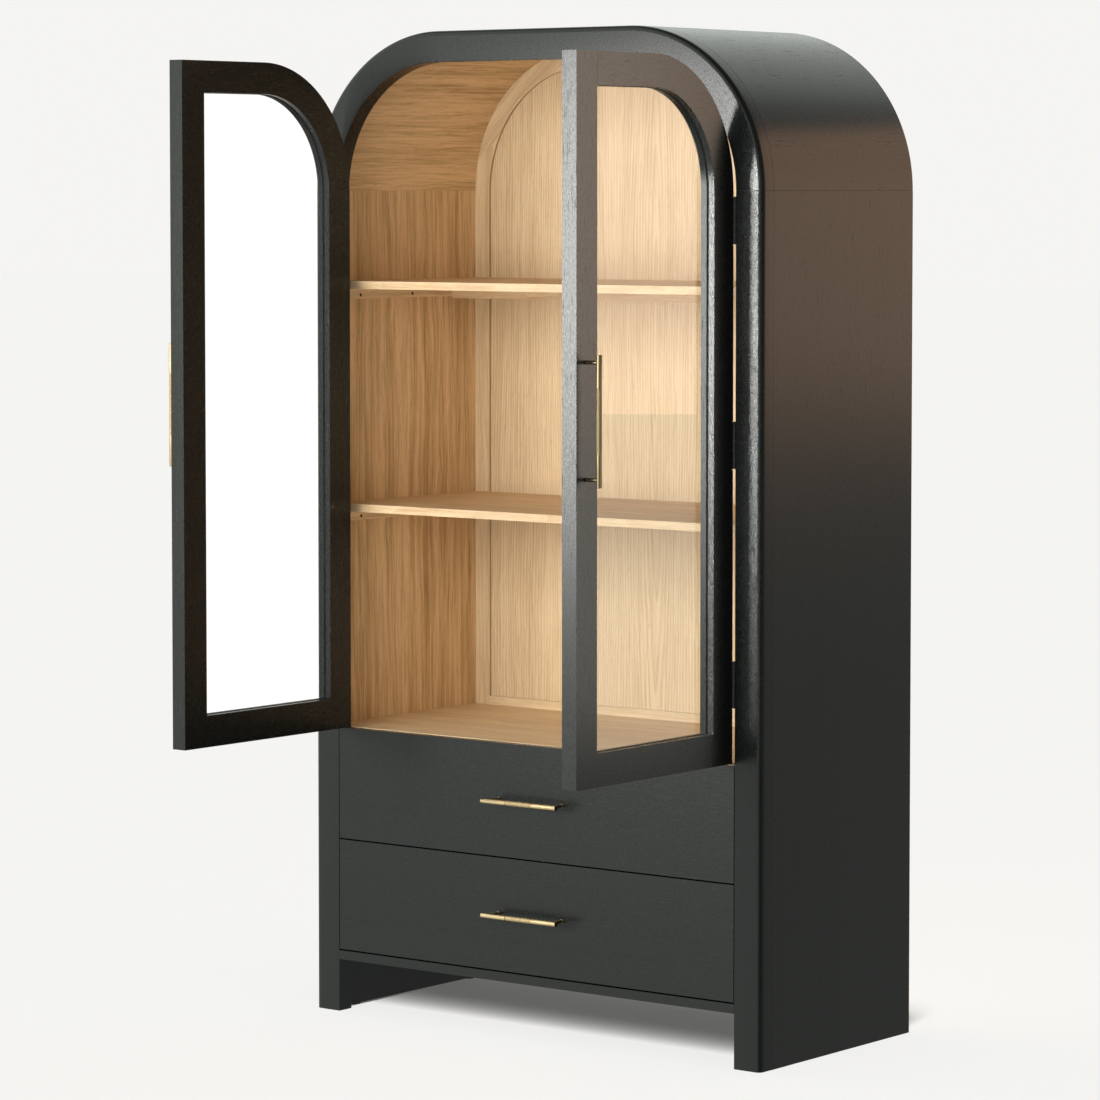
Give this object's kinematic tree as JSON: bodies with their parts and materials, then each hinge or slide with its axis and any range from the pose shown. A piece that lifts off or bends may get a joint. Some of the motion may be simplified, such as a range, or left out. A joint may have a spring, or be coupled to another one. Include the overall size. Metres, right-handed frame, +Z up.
{
  "type": "curio cabinet",
  "caption": "Tall arched display cabinet with glazed double doors over deep drawers, black oak outside and natural oak inside, with shelves and brass bar handles.",
  "frame": {"origin": "centre of the footprint of the bounding box at rest, with both doors standing open, at floor level", "axes": "+Z up, +X to the right seen from the front, +Y towards the back"},
  "size_m": [1.118, 1.0158, 2.0054],
  "materials": {
    "black_oak": "black-stained open-grain oak, satin",
    "natural_oak": "clear satin oak",
    "drawer_wood": "clear satin wood",
    "clear_glass": "clear",
    "satin_brass": "satin brass",
    "black_metal": "black",
    "zinc_steel": "zinc plated",
    "black_seal": "matt",
    "glide_plastic": "matt"
  },
  "bodies": {
    "cabinet": {"left_side_panel": "black_oak", "right_side_panel": "black_oak", "arch_top_shell": "black_oak", "left_front_post": "black_oak", "right_front_post": "black_oak", "front_arch_head": "black_oak", "bottom_panel": "black_oak", "cabinet_floor": "natural_oak", "back_panel": "natural_oak", "side_linings": "natural_oak", "arch_lining": "natural_oak", "back_trim_stiles": "natural_oak", "back_trim_arch": "natural_oak", "back_trim_rail": "natural_oak", "upper_shelf": "natural_oak", "lower_shelf": "natural_oak", "shelf_rear_rails": "natural_oak", "shelf_ledgers": "natural_oak", "ledger_screws": "black_metal", "foot_blocks": "black_oak", "floor_glides": "glide_plastic", "slide_packers": "natural_oak", "slide_outer_members": "zinc_steel", "hinge_frame_leaves": "black_metal", "hinge_pins": "black_metal", "hinge_frame_screws": "black_metal"},
    "left_door": {"left_door_hinge_stile": "black_oak", "left_door_meeting_stile": "black_oak", "left_door_bottom_rail": "black_oak", "left_door_arched_rail": "black_oak", "left_door_glass": "clear_glass", "left_door_glazing_seal": "black_seal", "left_door_handle": "satin_brass", "left_door_hinge_leaves": "black_metal", "left_door_hinge_screws": "black_metal"},
    "right_door": {"right_door_hinge_stile": "black_oak", "right_door_meeting_stile": "black_oak", "right_door_bottom_rail": "black_oak", "right_door_arched_rail": "black_oak", "right_door_glass": "clear_glass", "right_door_glazing_seal": "black_seal", "right_door_handle": "satin_brass", "right_door_hinge_leaves": "black_metal", "right_door_hinge_screws": "black_metal"},
    "upper_drawer": {"upper_drawer_front": "black_oak", "upper_drawer_sides": "drawer_wood", "upper_drawer_back": "drawer_wood", "upper_drawer_bottom": "drawer_wood", "upper_drawer_pull": "satin_brass", "upper_slide_inner_members": "zinc_steel"},
    "upper_slides": {"upper_slide_middle_members": "zinc_steel"},
    "lower_drawer": {"lower_drawer_front": "black_oak", "lower_drawer_sides": "drawer_wood", "lower_drawer_back": "drawer_wood", "lower_drawer_bottom": "drawer_wood", "lower_drawer_pull": "satin_brass", "lower_slide_inner_members": "zinc_steel"},
    "lower_slides": {"lower_slide_middle_members": "zinc_steel"}
  },
  "joints": [
    {"name": "left_door_hinge", "type": "hinge", "parent": "cabinet", "child": "left_door", "pos_m": [-0.4957, -0.0137, 1.266], "axis": [0, 0, -1], "range_deg": [-91, 79]},
    {"name": "right_door_hinge", "type": "hinge", "parent": "cabinet", "child": "right_door", "pos_m": [0.4957, -0.0137, 1.266], "axis": [0, 0, 1], "range_deg": [-90, 80]},
    {"name": "upper_drawer_travel", "type": "slide", "parent": "cabinet", "child": "upper_drawer", "axis": [0, -1, 0], "range_m": [0, 0.35]},
    {"name": "lower_drawer_travel", "type": "slide", "parent": "cabinet", "child": "lower_drawer", "axis": [0, -1, 0], "range_m": [0, 0.35]},
    {"name": "upper_slide_travel", "type": "slide", "parent": "cabinet", "child": "upper_slides", "axis": [0, -1, 0], "range_m": [0, 0.175]},
    {"name": "lower_slide_travel", "type": "slide", "parent": "cabinet", "child": "lower_slides", "axis": [0, -1, 0], "range_m": [0, 0.175]}
  ],
  "couplings": [
    {"joint": "upper_slide_travel", "follows": "upper_drawer_travel", "ratio": 0.5},
    {"joint": "lower_slide_travel", "follows": "lower_drawer_travel", "ratio": 0.5}
  ]
}
